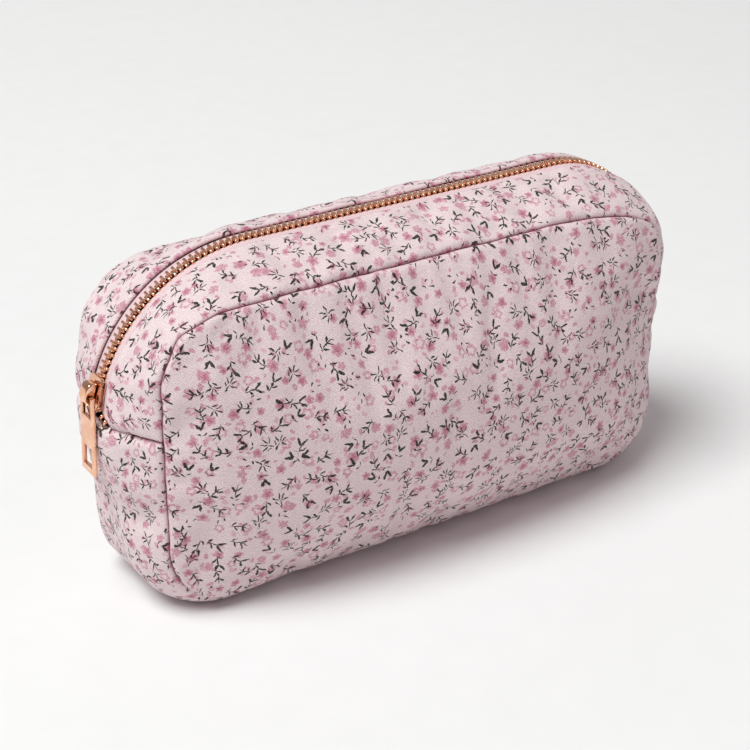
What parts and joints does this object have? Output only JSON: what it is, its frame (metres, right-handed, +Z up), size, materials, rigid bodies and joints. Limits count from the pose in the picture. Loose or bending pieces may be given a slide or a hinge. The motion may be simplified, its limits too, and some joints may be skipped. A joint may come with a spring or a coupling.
{
  "type": "makeup bag",
  "caption": "Soft padded boxy makeup bag that stands on its base, with a metal zip over the top and down both ends, a domed slider and a flat bar pull",
  "frame": {"origin": "on the floor under the middle of the bag's flat base", "axes": "+X along the bag away from the end with the slider, +Y from the front panel to the back panel, +Z up"},
  "size_m": [0.2518, 0.101, 0.1298],
  "materials": {
    "outer_fabric": "matt printed cotton twill",
    "padding": "matt soft padding",
    "lining": "smooth plain-weave lining",
    "zip_tape": "matt woven tape",
    "rose_gold_metal": "polished rose-gold plate"
  },
  "bodies": {
    "bag": {"front_panel": "outer_fabric", "front_padding": "padding", "front_lining": "lining", "back_panel": "outer_fabric", "back_padding": "padding", "back_lining": "lining", "lower_gusset": "outer_fabric", "lower_gusset_padding": "padding", "lower_gusset_lining": "lining", "zip_strip_front_left": "outer_fabric", "strip_lining_front_left": "lining", "zip_tape_front_left": "zip_tape", "zip_teeth_front_left": "rose_gold_metal", "zip_strip_front_right": "outer_fabric", "strip_lining_front_right": "lining", "zip_tape_front_right": "zip_tape", "zip_teeth_front_right": "rose_gold_metal", "zip_strip_back_left": "outer_fabric", "strip_lining_back_left": "lining", "zip_tape_back_left": "zip_tape", "zip_teeth_back_left": "rose_gold_metal", "zip_strip_back_right": "outer_fabric", "strip_lining_back_right": "lining", "zip_tape_back_right": "zip_tape", "zip_teeth_back_right": "rose_gold_metal"},
    "lip_front": {"zip_strip_front_top": "outer_fabric", "strip_lining_front_top": "lining", "zip_tape_front_top": "zip_tape", "zip_teeth_front_top": "rose_gold_metal"},
    "lip_back": {"zip_strip_back_top": "outer_fabric", "strip_lining_back_top": "lining", "zip_tape_back_top": "zip_tape", "zip_teeth_back_top": "rose_gold_metal"},
    "slider": {"slider_body": "rose_gold_metal", "slider_cap": "rose_gold_metal"},
    "pull": {"zip_pull": "rose_gold_metal"}
  },
  "joints": [
    {"name": "slider_travel", "type": "hinge", "parent": "bag", "child": "slider", "pos_m": [-0.0595, 0, 0.065], "axis": [0, 1, 0], "range_deg": [-3, 65], "deforming": ["zip_teeth_front_left", "zip_teeth_back_left"]},
    {"name": "pull_swing", "type": "hinge", "parent": "slider", "child": "pull", "pos_m": [-0.125, 0, 0.08356], "axis": [0, 1, 0], "range_deg": [0, 175]},
    {"name": "front_lip_swing", "type": "hinge", "parent": "bag", "child": "lip_front", "pos_m": [0, -0.0305, 0.119], "axis": [1, 0, 0], "range_deg": [0, 45]},
    {"name": "back_lip_swing", "type": "hinge", "parent": "bag", "child": "lip_back", "pos_m": [0, 0.0305, 0.119], "axis": [-1, 0, 0], "range_deg": [0, 45]}
  ]
}
